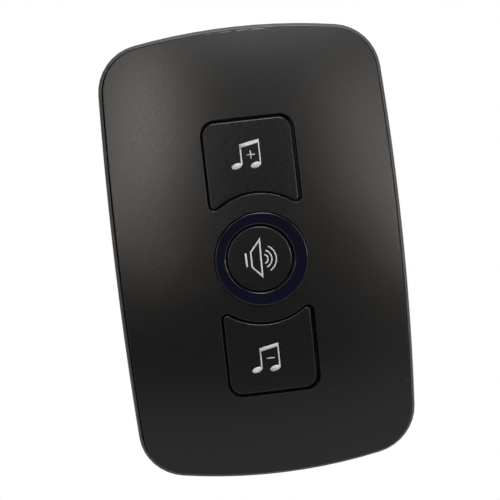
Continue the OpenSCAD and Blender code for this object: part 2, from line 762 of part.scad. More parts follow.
module tact_switch(step) color("#111214") at_switch(step) difference() {
    linear_extrude(switch_case_h - switch_cover_t) square(switch_w, center = true);
    translate([0, 0, switch_floor]) cylinder(h = switch_case_h, r = plunger_r + switch_room);
}

module tact_switch_cover(step) color("#b9bcc0") at_switch(step) difference() {
    translate([0, 0, switch_case_h - switch_cover_t])
        linear_extrude(switch_cover_t) square(switch_w, center = true);
    cylinder(h = switch_h, r = plunger_r + hole_gap);
}

module switch_plunger(step) color("#2c2d30") at_switch(step)
    translate([0, 0, switch_floor + 2 * travel])
        cylinder(h = switch_h - switch_floor - 2 * travel, r = plunger_r);

// Board

module main_board() color("#1f5c3a") at_body(board_back) difference() {
    linear_extrude(board_t) polygon(rounded_rectangle(board_w, board_h, board_corner_r));
    translate([0, 0, -1]) sign_pairs(board_screw_at) cylinder(h = board_t + 2, r = board_screw_r + hole_gap);
}

module board_screws() color("#8c8f93") at_body(board_back) sign_pairs(board_screw_at)
    screw(board_screw_r, board_screw_l, board_head_r, board_head_h);

module indicator_led(turn) color("#f0efe2") at_controls(board_front) rotate(turn)
    translate([led_at - led_w / 2, -led_l / 2, 0]) cube([led_w, led_l, led_h]);

// A part that hangs from the back of the board, about a place on it
module behind_board(at, drop) at_body(board_back - drop) translate([at[0], at[1], 0]) children();

module receiver_module() color("#23643f") behind_board(module_at, module_drop) {
    linear_extrude(module_size[2]) square([module_size[0], module_size[1]], center = true);
    for (x = [-1.5:1:1.5]) translate([x * leg_pitch, module_size[1] / 2 - leg_edge, module_size[2] - eps])
        cylinder(h = module_drop - module_size[2] + eps, r = leg_r);
    translate([0, 0, -shield_size[2]]) linear_extrude(shield_size[2] + eps)
        square([shield_size[0], shield_size[1]], center = true);
}

// The aerial's helix, and the least distance between one turn and the next
aerial_axis = board_back - aerial_r - aerial_lift;
aerial_path = [for (i = [0:aerial_turns * 8]) let (a = 45 * i)
    [aerial_r * sin(a), aerial_pitch * (i / 8 - aerial_turns / 2), aerial_r * cos(a)]];
aerial_gap = min([for (i = [0:8]) for (j = [i + 6:i + 10]) norm(aerial_path[i] - aerial_path[j])])
    - 2 * aerial_wire_r;
aerial_end = aerial_pitch * aerial_turns / 2;
echo(least_gap_between_aerial_turns = aerial_gap);

module antenna_coil() color("#b87333") translate([aerial_at[0], body_y + aerial_at[1], aerial_axis])
    tube(concat(aerial_path, [
        [0, aerial_end + aerial_lift / 2, aerial_r],
        [0, aerial_end + aerial_lift * 3 / 4, aerial_r + aerial_lift / 2],
        [0, aerial_end + aerial_lift * 3 / 4, aerial_r + aerial_lift]
    ]), aerial_wire_r, 6);

module sound_chip() color("#0e0f10") behind_board(chip_at, chip_size[2]) {
    linear_extrude(chip_size[2]) square([chip_size[0], chip_size[1]], center = true);
    for (k = [-3.5:1:3.5]) for (y = [-1, 1])
        translate([k * chip_leg_pitch, y * chip_size[1] / 2, chip_size[2] - chip_leg[2]])
            linear_extrude(chip_leg[2]) square([chip_leg[0], 2 * chip_leg[1]], center = true);
}

module film_capacitor() color("#d8b23a") behind_board(film_at, film_h)
    linear_extrude(film_h) polygon(rounded_rectangle(film_l, film_w, film_fillet));

// The filter capacitor's can lies on the board, with a rolled groove near its base
module filter_capacitor() color("#20304f") behind_board(can_at, 2 * can_r)
    translate([-can_l / 2, 0, can_r]) rotate([0, 90, 0]) rotate_extrude() polygon([
        [0, 0], [can_r - can_chamfer, 0], [can_r, can_chamfer],
        [can_r, can_groove_at - can_chamfer], [can_r - can_chamfer, can_groove_at],
        [can_r, can_groove_at + can_chamfer],
        [can_r, can_l - can_chamfer], [can_r - can_chamfer, can_l], [0, can_l]
    ]);

module bridge_rectifier() color("#101113") behind_board(bridge_at, bridge_size[2])
    linear_extrude(bridge_size[2]) square([bridge_size[0], bridge_size[1]], center = true);

module fuse_resistor() color("#6fa3a8") behind_board(fuse_at, 2 * fuse_size[0])
    translate([-fuse_size[1] / 2, 0, fuse_size[0]]) rotate([0, 90, 0])
        cylinder(h = fuse_size[1], r = fuse_size[0]);

// Speaker, facing the sound slots

module speaker_turned() at_speaker(speaker_z) rotate_extrude() children();

module speaker_gasket() color("#3a3b3d") at_speaker(rear_in) difference() {
    cylinder(h = gasket_t, r = speaker_r);
    translate([0, 0, -1]) cylinder(h = gasket_t + 2, r = speaker_r - gasket_w);
}

module speaker_frame() color("#6e7277") speaker_turned() polygon([
    [rim_inner, 0], [speaker_r, 0], [speaker_r, basket_rim_t], [basket_wall_r, basket_rim_t],
    [basket_wall_r, basket_h / 2], [basket_floor_r, basket_h], [coil_bore_r, basket_h],
    [coil_bore_r, basket_h - sheet_t], [basket_floor_r - sheet_t / 3, basket_h - sheet_t],
    [surround_r, basket_h / 2 - sheet_t / 2], [surround_r, sheet_t], [rim_inner, sheet_t]
]);

module speaker_pot() color("#9a9da1") speaker_turned() polygon([
    [coil_bore_r, basket_h], [pot_r, basket_h], [pot_r, basket_h + pot_h], [0, basket_h + pot_h],
    [0, pot_floor], [coil_bore_r, pot_floor]
]);

module speaker_magnet() color("#54575b") at_speaker(speaker_z + basket_h + pole_t)
    cylinder(h = pot_floor - basket_h - pole_t, r = pole_r - magnet_step);

module speaker_pole() color("#a6a9ad") at_speaker(speaker_z + basket_h) cylinder(h = pole_t, r = pole_r);

module speaker_cone() color("#2f3134") speaker_turned() polygon([
    [0, cone_back - cone_dish], [coil_mid - coil_t / 2, cone_back - cone_t],
    [coil_mid + coil_t, cone_back - cone_t], [cone_r, cone_front],
    [cone_r, cone_front + cone_t], [coil_mid + coil_t, cone_back],
    [coil_mid - coil_t / 2, cone_back], [0, cone_back - cone_dish + cone_t]
]);

module voice_coil() color("#b5652b") at_speaker(speaker_z + cone_back) difference() {
    cylinder(h = coil_top - cone_back, r = coil_mid + coil_t / 2);
    translate([0, 0, -1]) cylinder(h = coil_top, r = coil_mid - coil_t / 2);
}

// The flexible edge: a rolled strip from the cone's edge to a seat behind the basket's lip
module speaker_surround() color("#232426") speaker_turned() {
    roll = (rim_inner - cone_r) / 2;
    middle = cone_r + roll;
    polygon(concat(
        arc([middle, sheet_t], roll, 180, 0, arc_steps),
        [[surround_r, sheet_t], [surround_r, sheet_t + cone_t]],
        arc([middle, sheet_t + cone_t], roll, 0, 180, arc_steps)
    ));
}

module speaker_screws() color("#8c8f93") at_speaker_posts(speaker_top) rotate([180, 0, 0])
    screw(speaker_screw_r, speaker_screw_bite, washer_r, washer_h);

module speaker_lead(side, tint) color(tint) {
    foot = [side * lead_foot_r, speaker_y, speaker_z + basket_h];
    pad = [side * speaker_pad[0], body_y + speaker_pad[1], board_back];
    tube(lead_path(foot, pad), lead_r, 8);
}

in_wall() front_cover();
in_wall() rear_housing();
in_wall() case_screws();
in_wall() plug_carrier();
in_wall() plug_screws();
in_wall() plug_pin(1);  // live_pin
in_wall() plug_pin(-1);  // neutral_pin
in_wall() pin_sleeve(1);  // live_sleeve
in_wall() pin_sleeve(-1);  // neutral_sleeve
in_wall() mains_lead(1, "#7a4a2a");  // live_lead
in_wall() mains_lead(-1, "#2f5f9e");  // neutral_lead
in_wall() light_ring();
in_wall() volume_button();
in_wall() tune_button(0);  // next_tune_button
in_wall() tune_button(180);  // previous_tune_button
in_wall() tact_switch(0);  // volume_switch
in_wall() tact_switch(1);  // next_tune_switch
in_wall() tact_switch(-1);  // previous_tune_switch
in_wall() tact_switch_cover(0);  // volume_switch_cover
in_wall() tact_switch_cover(1);  // next_tune_switch_cover
in_wall() tact_switch_cover(-1);  // previous_tune_switch_cover
in_wall() switch_plunger(0);  // volume_plunger
in_wall() switch_plunger(1);  // next_tune_plunger
in_wall() switch_plunger(-1);  // previous_tune_plunger
in_wall() main_board();
in_wall() board_screws();
in_wall() indicator_led(45);  // indicator_led_1
in_wall() indicator_led(135);  // indicator_led_2
in_wall() indicator_led(225);  // indicator_led_3
in_wall() indicator_led(315);  // indicator_led_4
in_wall() receiver_module();
in_wall() antenna_coil();
in_wall() sound_chip();
in_wall() film_capacitor();
in_wall() filter_capacitor();
in_wall() bridge_rectifier();
in_wall() fuse_resistor();
in_wall() speaker_gasket();
in_wall() speaker_frame();
in_wall() speaker_pot();
in_wall() speaker_magnet();
in_wall() speaker_pole();
in_wall() speaker_cone();
in_wall() voice_coil();
in_wall() speaker_surround();
in_wall() speaker_screws();
in_wall() speaker_lead(1, "#a33030");  // speaker_lead_1
in_wall() speaker_lead(-1, "#202123");  // speaker_lead_2
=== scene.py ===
import json
import math

import bmesh
import bpy
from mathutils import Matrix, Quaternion, Vector

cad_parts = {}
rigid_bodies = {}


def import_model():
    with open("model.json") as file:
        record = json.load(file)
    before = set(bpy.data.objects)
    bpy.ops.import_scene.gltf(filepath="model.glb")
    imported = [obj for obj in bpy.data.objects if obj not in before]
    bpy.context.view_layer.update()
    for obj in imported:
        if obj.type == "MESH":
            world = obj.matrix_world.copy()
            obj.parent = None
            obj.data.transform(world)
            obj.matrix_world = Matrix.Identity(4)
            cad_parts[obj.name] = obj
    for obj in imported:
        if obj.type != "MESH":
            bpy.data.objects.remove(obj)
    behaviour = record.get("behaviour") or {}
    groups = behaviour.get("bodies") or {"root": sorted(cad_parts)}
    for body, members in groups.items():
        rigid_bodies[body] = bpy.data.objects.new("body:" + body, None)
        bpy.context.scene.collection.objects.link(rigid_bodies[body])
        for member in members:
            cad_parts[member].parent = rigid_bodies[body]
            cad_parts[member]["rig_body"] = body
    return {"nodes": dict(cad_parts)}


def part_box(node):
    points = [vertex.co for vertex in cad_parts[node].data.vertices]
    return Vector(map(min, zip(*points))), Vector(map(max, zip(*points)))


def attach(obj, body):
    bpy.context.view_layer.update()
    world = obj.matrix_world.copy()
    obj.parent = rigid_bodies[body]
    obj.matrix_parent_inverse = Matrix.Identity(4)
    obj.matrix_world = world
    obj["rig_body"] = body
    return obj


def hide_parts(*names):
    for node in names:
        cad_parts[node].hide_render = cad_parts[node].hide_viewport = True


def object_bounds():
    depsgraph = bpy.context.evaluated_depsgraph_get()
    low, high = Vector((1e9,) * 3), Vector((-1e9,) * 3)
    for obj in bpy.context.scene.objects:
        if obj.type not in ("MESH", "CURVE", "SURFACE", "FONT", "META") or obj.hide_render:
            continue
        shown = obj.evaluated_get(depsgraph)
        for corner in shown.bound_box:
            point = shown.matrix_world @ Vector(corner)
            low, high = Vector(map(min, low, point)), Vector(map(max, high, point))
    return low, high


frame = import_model()
cad_low, cad_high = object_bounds()

# Camera. The photograph looks at the face from a little above and a little to the left, with the
# receiver leaning to the left in the picture. The view aims at the crown of the domed face.
MM = 0.001
cover_low, cover_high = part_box("front_cover")
crown = Vector((0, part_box("volume_button")[0].y, (cover_low.z + cover_high.z) / 2))
photo_side = 500
crown_pixel = (261.63, 257.44)
focal_pixels = 1647.97
view_turn = math.radians(-2.87)
view_rise = math.radians(6.31)
view_roll = math.radians(-6.32)
view_distance = 335.59 * MM
sensor = 36
near_clip = 10 * MM

camera_data = bpy.data.cameras.new("photo_camera")
camera_data.sensor_width = sensor
camera_data.lens = focal_pixels / photo_side * sensor
camera_data.shift_x = 0.5 - crown_pixel[0] / photo_side
camera_data.shift_y = crown_pixel[1] / photo_side - 0.5
camera_data.clip_start = near_clip
camera = bpy.data.objects.new("photo_camera", camera_data)
bpy.context.scene.collection.objects.link(camera)
backward = Vector((
    math.sin(view_turn) * math.cos(view_rise),
    -math.cos(view_turn) * math.cos(view_rise),
    math.sin(view_rise),
))
camera.location = crown + backward * view_distance
camera.rotation_mode = "QUATERNION"
camera.rotation_quaternion = (-backward).to_track_quat("-Z", "Y") @ Quaternion((0, 0, 1), view_roll)
bpy.context.scene.camera = camera

# Studio. The receiver hangs free over a pale floor, in front of nothing but white, as in the photograph.
# Strips and softboxes stand high to the left, to the right and above, so that the upper face glows and the
# lower face stays dark. A low bounce lights the chin, and three edge strips draw the rim.


def linear(hex_colour):
    """An sRGB colour, written as in a paint program, as the linear colour that the shaders take."""
    parts = [int(hex_colour[i:i + 2], 16) / 255 for i in (1, 3, 5)]
    return tuple(c / 12.92 if c <= 0.04045 else ((c + 0.055) / 1.055) ** 2.4 for c in parts) + (1,)


def add_node(tree, kind, settings=None, **inputs):
    """Adds a shader node. Settings are its own properties, inputs are values, or sockets to link from."""
    made = tree.nodes.new(kind)
    for name, value in (settings or {}).items():
        setattr(made, name, value)
    for name, value in inputs.items():
        key = int(name[2:]) if name.startswith("in") and name[2:].isdigit() else name.replace("_", " ")
        if isinstance(value, bpy.types.NodeSocket):
            tree.links.new(value, made.inputs[key])
        else:
            made.inputs[key].default_value = value
    return made


def seen_directly(tree):
    """1 for a ray from the camera, or one that a gloss or a clear piece sends on, and 0 for light that falls
    on other things."""
    path = add_node(tree, "ShaderNodeLightPath").outputs
    mirrored = add_node(tree, "ShaderNodeMath", {"operation": "MAXIMUM"},
                        in0=path["Is Camera Ray"], in1=path["Is Glossy Ray"])
    return add_node(tree, "ShaderNodeMath", {"operation": "MAXIMUM"},
                    in0=mirrored.outputs[0], in1=path["Is Transmission Ray"]).outputs[0]


bpy.context.scene.view_settings.view_transform = "Standard"
studio = bpy.data.worlds.new("white_studio")
studio.use_nodes = True
bpy.context.scene.world = studio
sky = studio.node_tree
sky.nodes.clear()
facing = add_node(sky, "ShaderNodeSeparateXYZ", in0=add_node(sky, "ShaderNodeTexCoord").outputs["Generated"])
# The room is dark in front of the receiver, where the camera stands, and turns white behind it.
dark_until = -0.05
white_from = 0.5
dark_room = 0.03
room = add_node(sky, "ShaderNodeMapRange", {"interpolation_type": "SMOOTHSTEP"},
                in0=facing.outputs["Y"], in1=dark_until, in2=white_from, in3=dark_room, in4=1.0)
by_camera = add_node(sky, "ShaderNodeLightPath").outputs["Is Camera Ray"]
sky_strength = add_node(sky, "ShaderNodeMath", {"operation": "MAXIMUM"}, in0=room.outputs[0], in1=by_camera)
sky_light = add_node(sky, "ShaderNodeBackground", Color=(1, 1, 1, 1), Strength=sky_strength.outputs[0])
add_node(sky, "ShaderNodeOutputWorld", Surface=sky_light.outputs[0])

floor_side = 6.0
floor_drop = 0.3
floor_front = -0.2
floor_middle = (0, floor_front + floor_side / 2, cad_low.z - floor_drop)
bpy.ops.object.select_all(action="DESELECT")
bpy.ops.mesh.primitive_plane_add(size=floor_side, location=floor_middle)
floor = bpy.context.object
floor.name = "floor"
bpy.ops.object.transform_apply(location=True, rotation=True, scale=True)
# White paper: seen as pure white, while it lights the receiver no more than matt paper does.
paper = bpy.data.materials.new("white_paper")
paper.use_nodes = True
tree = paper.node_tree
tree.nodes.clear()
matt = add_node(tree, "ShaderNodeBsdfDiffuse", Color=linear("#f4f4f2"))
glow = add_node(tree, "ShaderNodeEmission", Color=(1, 1, 1, 1), Strength=1.0)
either = add_node(tree, "ShaderNodeMixShader", in0=seen_directly(tree), in1=matt.outputs[0],
                  in2=glow.outputs[0])
add_node(tree, "ShaderNodeOutputMaterial", Surface=either.outputs[0])
floor.data.materials.append(paper)
lamp_distance = 1.2


def softbox(name, turn, rise, size, watts, colour):
    """A soft area lamp that looks at the crown of the face. It is turned to the right and raised by degrees,
    and its width and height are in metres."""
    lamp = bpy.data.lights.new(name, "AREA")
    lamp.color = colour
    lamp.shape = "RECTANGLE"
    lamp.size, lamp.size_y = size
    lamp.energy = watts
    turned, raised = math.radians(turn), math.radians(rise)
    toward = Vector((
        math.sin(turned) * math.cos(raised),
        -math.cos(turned) * math.cos(raised),
        math.sin(raised),
    ))
    stand = bpy.data.objects.new(name, lamp)
    bpy.context.scene.collection.objects.link(stand)
    stand.location = crown + toward * lamp_distance
    stand.rotation_mode = "QUATERNION"
    stand.rotation_quaternion = (-toward).to_track_quat("-Z", "Y")


warm_light = (1.0, 0.92, 0.85)
plain_light = (1.0, 1.0, 1.0)
softbox("strip_left", -17, 21, (0.17, 0.5), 1.95, warm_light)
softbox("strip_left_low", -17, 1, (0.17, 0.34), 0.45, warm_light)
softbox("softbox_left", -33.5, 5, (0.51, 0.17), 1.08, warm_light)
softbox("softbox_right", 31.5, 13, (0.51, 0.5), 2.1, warm_light)
softbox("softbox_right_low", 40, -3, (0.2, 0.2), 3.5, warm_light)
softbox("softbox_top", 18, 50, (0.6, 0.28), 10.3, plain_light)
softbox("table_bounce", 0, -50, (2.0, 0.8), 2.35, plain_light)
softbox("edge_strip_top", 0, 66, (0.7, 0.3), 5.4, plain_light)
softbox("edge_strip_left", -60, 0, (0.25, 1.4), 2.5, plain_light)
softbox("edge_strip_right", 60, 0, (0.25, 1.4), 3.5, plain_light)

# Front cover. A shell of black ABS, moulded with a fine spark-eroded grain over its domed face.
# Its skirt drops inside the rear housing's rim and leaves a narrow dark parting line.


def start_material(name):
    """An empty material with its shader, and the object's own coordinates in metres."""
    made = bpy.data.materials.new(name)
    made.use_nodes = True
    tree = made.node_tree
    tree.nodes.clear()
    shader = add_node(tree, "ShaderNodeBsdfPrincipled")
    add_node(tree, "ShaderNodeOutputMaterial", Surface=shader.outputs[0])
    place = add_node(tree, "ShaderNodeTexCoord").outputs["Object"]
    return made, tree, shader, place


cloud_size = 14 * MM
noise_low = 0.3
noise_high = 0.7


def moulded_plastic(name, tints, roughness, grain, depth, specular=0.5):
    """Moulded plastic: two close tints in soft clouds, and the tool's fine grain as bump and as gloss.
    Grain and depth are the grain's width and height, drawn coarser than life where it is too fine to show."""
    made, tree, shader, place = start_material(name)
    clouds = add_node(tree, "ShaderNodeTexNoise", Vector=place, Scale=1 / cloud_size, Detail=3.0)
    tint = add_node(tree, "ShaderNodeMix", {"data_type": "RGBA"}, in0=clouds.outputs["Fac"],
                    in6=linear(tints[0]), in7=linear(tints[1]))
    tree.links.new(tint.outputs[2], shader.inputs["Base Color"])
    pits = add_node(tree, "ShaderNodeTexNoise", Vector=place, Scale=1 / grain, Detail=2.0)
    gloss = add_node(tree, "ShaderNodeMapRange", in0=pits.outputs["Fac"], in1=noise_low, in2=noise_high,
                     in3=roughness[0], in4=roughness[1])
    tree.links.new(gloss.outputs[0], shader.inputs["Roughness"])
    relief = add_node(tree, "ShaderNodeBump", Height=pits.outputs["Fac"], Distance=depth, Strength=1.0)
    tree.links.new(relief.outputs[0], shader.inputs["Normal"])
    shader.inputs["Specular IOR Level"].default_value = specular
    return made


weld_reach = 0.002 * MM
same_plane = math.radians(0.2)
sharp_angle = math.radians(32)


def merged_copy(node):
    """A copy of a CAD node with its loose triangles merged, left in edit mode with its sharp edges
    selected."""
    piece = bpy.data.objects.new(node + "_moulded", frame["nodes"][node].data.copy())
    bpy.context.scene.collection.objects.link(piece)
    bpy.ops.object.select_all(action="DESELECT")
    piece.select_set(True)
    bpy.context.view_layer.objects.active = piece
    bpy.ops.mesh.customdata_custom_splitnormals_clear()
    bpy.ops.object.mode_set(mode="EDIT")
    bpy.ops.mesh.select_mode(type="EDGE")
    bpy.ops.mesh.select_all(action="SELECT")
    bpy.ops.mesh.remove_doubles(threshold=weld_reach)
    bpy.ops.mesh.dissolve_limited(angle_limit=same_plane)
    bpy.ops.mesh.select_all(action="DESELECT")
    bpy.ops.mesh.edges_select_sharp(sharpness=sharp_angle)
    return piece


def rounded(piece, width):
    """Rounds the edges that carry a bevel weight."""
    bpy.ops.object.mode_set(mode="OBJECT")
    bpy.ops.object.shade_smooth()
    rounding = piece.modifiers.new("rounded_edges", "BEVEL")
    rounding.width = width
    rounding.segments = 3
    rounding.limit_method = "WEIGHT"
    rounding.use_clamp_overlap = False
    bpy.ops.object.modifier_apply(modifier=rounding.name)


def stands_for(piece, node, material):
    """Lets the large faces of the finished copy rule its shading, gives it its material, and puts it in the
    CAD node's place."""
    even = piece.modifiers.new("even_shading", "WEIGHTED_NORMAL")
    even.weight = 60
    bpy.context.view_layer.objects.active = piece
    bpy.ops.object.modifier_apply(modifier=even.name)
    piece.data.materials.clear()
    piece.data.materials.append(material)
    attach(piece, frame["nodes"][node]["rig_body"])
    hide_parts(node)
    return piece


def finished(node, edge, material, fit=None):
    """A merged copy of a CAD node with its sharp edges rounded. Fit may move its points by a hair first."""
    piece = merged_copy(node)
    if fit:
        shape = bmesh.from_edit_mesh(piece.data)
        fit([point.co for point in shape.verts])
        shape.normal_update()
    bpy.ops.transform.edge_bevelweight(value=1)
    rounded(piece, edge)
    return stands_for(piece, node, material)


dome_radius = 170 * MM
dome_grid = 3 * MM
dome_reach = 0.02 * MM
nearly_flat = math.radians(1)
hair = 0.001 * MM


def dome_fall(place, radius):
    """How far a dome about the face's centre of curvature has fallen away behind its own crown at a place."""
    aside = math.hypot(place.x - crown.x, place.z - crown.z)
    return radius - math.sqrt(radius ** 2 - aside ** 2)


def crowned(node, edge, face_edge, material, is_wide, radius=dome_radius, fit=None):
    """A merged copy of a moulding with a domed front. The front is pressed flat, so that its edges round
    cleanly, and is then cut into a fine grid and domed again. Edges that are not wide get the smaller
    rounding. Fit may move the points of the flat moulding by a hair, as its play in the other one does."""
    piece = merged_copy(node)
    bpy.ops.transform.edge_bevelweight(value=edge / face_edge)
    shape = bmesh.from_edit_mesh(piece.data)
    low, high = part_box(node)
    top = crown.y + dome_radius - radius
    for point in shape.verts:
        if abs(point.co.y - top - dome_fall(point.co, radius)) < dome_reach:
            point.co.y = top
    front = top + hair
    if fit:
        fit([point.co for point in shape.verts], front)
    shape.normal_update()
    for face in shape.faces:
        face.select = all(point.co.y < front for point in face.verts)
    bpy.ops.mesh.select_mode(type="FACE")
    bpy.ops.mesh.dissolve_limited(angle_limit=nearly_flat)
    shape = bmesh.from_edit_mesh(piece.data)
    shape.normal_update()
    for line in shape.edges:
        sharp = line.calc_face_angle(0) > sharp_angle
        line.select = sharp and all(point.co.y < front for point in line.verts) and is_wide(line)
    bpy.ops.mesh.select_mode(type="EDGE")
    bpy.ops.transform.edge_bevelweight(value=1)
    rounded(piece, face_edge)
    bpy.ops.object.mode_set(mode="EDIT")
    bpy.ops.mesh.select_mode(type="FACE")
    shape = bmesh.from_edit_mesh(piece.data)
    front = top + face_edge + hair
    for face in shape.faces:
        face.select = all(point.co.y < front for point in face.verts)
    shape.select_flush_mode()
    bpy.ops.mesh.hide(unselected=True)
    for axis in (0, 2):
        cut = math.ceil(low[axis] / dome_grid) * dome_grid
        while cut < high[axis]:
            bpy.ops.mesh.select_all(action="SELECT")
            across = Vector((axis == 0, 0, axis == 2))
            bpy.ops.mesh.bisect(plane_co=across * cut, plane_no=across)
            cut += dome_grid
    bpy.ops.mesh.reveal(select=False)
    shape = bmesh.from_edit_mesh(piece.data)
    for point in shape.verts:
        if point.co.y < front:
            point.co.y += dome_fall(point.co, radius)
    bpy.ops.object.mode_set(mode="OBJECT")
    return stands_for(piece, node, material)


# Satin ABS: nearly black, with a fine grain that mottles the gloss a little, and a few specks of dust. The
# grain is drawn a few times coarser than the tool's, so that it shows.
satin_abs = moulded_plastic("satin_black_abs", ("#090909", "#0d0d0d"), (0.27, 0.3), 0.3 * MM, 0.0045 * MM)
tree = satin_abs.node_tree
# A speck's core and edge are shares of the specks' spacing.
speck_spacing = 4.5 * MM
speck_core = 0.02
speck_edge = 0.03
specks = add_node(tree, "ShaderNodeTexVoronoi", Scale=1 / speck_spacing,
                  Vector=add_node(tree, "ShaderNodeTexCoord").outputs["Object"])
dusty = add_node(tree, "ShaderNodeMapRange", in0=specks.outputs["Distance"],
                 in1=speck_core, in2=speck_edge, in3=1.0, in4=0.0)
clean_tint = tree.nodes["Principled BSDF"].inputs["Base Color"].links[0].from_socket
dust = add_node(tree, "ShaderNodeMix", {"data_type": "RGBA"}, in0=dusty.outputs[0], in6=clean_tint,
                in7=linear("#4a4947"))
tree.links.new(dust.outputs[2], tree.nodes["Principled BSDF"].inputs["Base Color"])
control_height = (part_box("light_ring")[0].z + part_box("light_ring")[1].z) / 2
control_reach = 20 * MM
control_rise = 32 * MM
ring_reach = 10 * MM
sharp_below = 24 * MM


def eased(points, shift, growth):
    """Moves an outline by a hair and widens it by another, across and up, in millimetres: the play that the
    mouldings have in each other, and the shrinkage of each, as the photograph shows them."""
    for axis, moved, grown in ((0, shift[0], growth[0]), (2, shift[1], growth[1])):
        low = min(point[axis] for point in points)
        high = max(point[axis] for point in points)
        for point in points:
            aside = (point[axis] - (low + high) / 2) / ((high - low) / 2)
            point[axis] += (moved + grown * aside) * MM


def walls_of(points, outline):
    """The points of an outline on the face, and those straight behind them at the foot of the same wall."""
    places = {(round(point.x / MM, 2), round(point.z / MM, 2)) for point in outline}
    return [point for point in points if (round(point.x / MM, 2), round(point.z / MM, 2)) in places]


def near_controls(place):
    """Tells the middle of the face, where the controls are, from its outer edge."""
    return abs(place.x) < control_reach and abs(place.z - control_height) < control_rise


def seated(points, front):
    """Draws the skirt's outer wall in at both sides and lifts it, so that the parting line is widest at the
    sides and closes at the top, and eases the two tune openings."""
    faced = [point for point in points if point.y < front]
    skirt = walls_of(points, [point for point in faced if not near_controls(point)])
    tunes = [point for point in faced if near_controls(point) and abs(point.z - control_height) > ring_reach]
    upper = walls_of(points, [point for point in tunes if point.z > control_height])
    lower = walls_of(points, [point for point in tunes if point.z < control_height])
    eased(skirt, shift=(-0.03, 0.1), growth=(-0.175, 0))
    eased(upper, shift=(0, 0.14), growth=(0, 0.14))
    eased(lower, shift=(0, 0.21), growth=(0, 0.07))


def round_opening(line):
    """Tells the edges of the openings from the cover's outer edge and the lowest edge, which are sharper."""
    return all(near_controls(point.co) and point.co.z > control_height - sharp_below for point in line.verts)


crowned("front_cover", 0.05 * MM, 0.15 * MM, satin_abs, round_opening, fit=seated)

# Light ring. A turned-looking ring of dark blue polycarbonate that passes the light of four lamps.
# It is polished, and it drops into the round opening from behind until its flange meets the collar.

# Tinted polycarbonate: a blue that is nearly black, polished, with faint paler streaks from the mould's flow.
streak_width = 4 * MM
navy_lens, tree, shader, place = start_material("navy_polycarbonate")
streaks = add_node(tree, "ShaderNodeTexNoise", Vector=place, Scale=1 / streak_width, Detail=2.0)
tint = add_node(tree, "ShaderNodeMix", {"data_type": "RGBA"}, in0=streaks.outputs["Fac"],
                in6=linear("#040512"), in7=linear("#07081a"))
tree.links.new(tint.outputs[2], shader.inputs["Base Color"])
shader.inputs["Roughness"].default_value = 0.18
shader.inputs["IOR"].default_value = 1.58
ring_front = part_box("light_ring")[0].y
small_chamfer = 0.12 * MM
chamfer_reach = 0.4 * MM
lip_reach = 8 * MM


def drawn_in(points):
    """Draws the edge of the ring's bore in round the volume cap, and a little to the left with it, and makes
    the outer chamfer smaller."""
    near_front = [point for point in points if point.y < ring_front + chamfer_reach]
    lip = [point for point in near_front if math.hypot(point.x, point.z - control_height) < lip_reach]
    brow = [point for point in near_front if math.hypot(point.x, point.z - control_height) > lip_reach]
    crest = [point for point in brow if point.y < ring_front + small_chamfer]
    eased(lip, shift=(-0.29, 0.16), growth=(-0.28, -0.28))
    eased(crest, shift=(0, 0), growth=(0.23, 0.23))
    for foot in brow:
        foot.y = min(foot.y, ring_front + small_chamfer)


finished("light_ring", 0.06 * MM, navy_lens, drawn_in)

# Press caps. Three hollow caps of the same black ABS, with a smoother face than the cover.
# Each slides in its opening and is kept there by a flange behind the wall.

# Smooth ABS: black with a quiet sheen, which its shallow grain only just breaks up.
cap_abs = moulded_plastic("smooth_black_abs", ("#0e0e0f", "#111112"), (0.26, 0.32), 0.5 * MM, 0.015 * MM,
                          specular=0.3)
# The front edge, the shift and the growth of each cap are in millimetres.
for cap, edge, shift, growth in (("volume_button", 0.45, (-0.42, 0.05), (0.12, 0.12)),
                                 ("next_tune_button", 0.34, (-0.14, 0.03), (-0.07, 0.15)),
                                 ("previous_tune_button", 0.34, (-0.17, 0.31), (-0.17, 0.0))):
    crowned(cap, 0.1 * MM, edge * MM, cap_abs, lambda line: True,
            fit=lambda points, front: eased(
                walls_of(points, [point for point in points if point.y < front]), shift, growth))

# Printed signs. Pale grey ink, pad printed on the caps: two notes with a plus, two with a minus, and a
# loudspeaker. Each sign is cut as a bar through the cap, and only the skin on the cap's crown is kept.
ink_depth = 0.03 * MM
bar_front = crown.y - 4 * MM
bar_depth = 8 * MM
head_size = (1.12 * MM, 0.58 * MM, 1)
head_tilt = math.radians(-15)
crown_depth = 3 * MM
looks_forward = -0.95


def bar_of_ink():
    """Turns the flat outline under edit, which lies in front of the caps, into a bar through them."""
    bpy.ops.mesh.select_all(action="SELECT")
    bpy.ops.mesh.extrude_region_move(TRANSFORM_OT_translate={"value": (0, bar_depth, 0)})
    bpy.ops.mesh.select_all(action="SELECT")
    bpy.ops.mesh.normals_make_consistent(inside=False)
    bpy.ops.object.mode_set(mode="OBJECT")
    return bpy.context.object


def flat_start(across, up, width, height):
    """A flat plate about a place on the face, in millimetres from the middle of the controls, ready to
    edit."""
    bpy.ops.object.select_all(action="DESELECT")
    bpy.ops.mesh.primitive_plane_add(size=1, rotation=(math.pi / 2, 0, 0), location=(
        across * MM, bar_front, control_height + up * MM))
    bpy.context.object.scale = (width * MM, height * MM, 1)
    bpy.ops.object.transform_apply(location=True, rotation=True, scale=True)
    bpy.ops.object.mode_set(mode="EDIT")


def stroke(left, right, bottom, top, lift=0):
    """A straight stroke. Its right end may be lifted, as a note's beam is."""
    flat_start((left + right) / 2, (bottom + top) / 2, right - left, top - bottom)
    plate = bmesh.from_edit_mesh(bpy.context.object.data)
    for corner in plate.verts:
        corner.select = corner.co.x > (left + right) / 2 * MM
    plate.select_flush_mode()
    bpy.ops.transform.translate(value=(0, 0, lift * MM))
    return bar_of_ink()


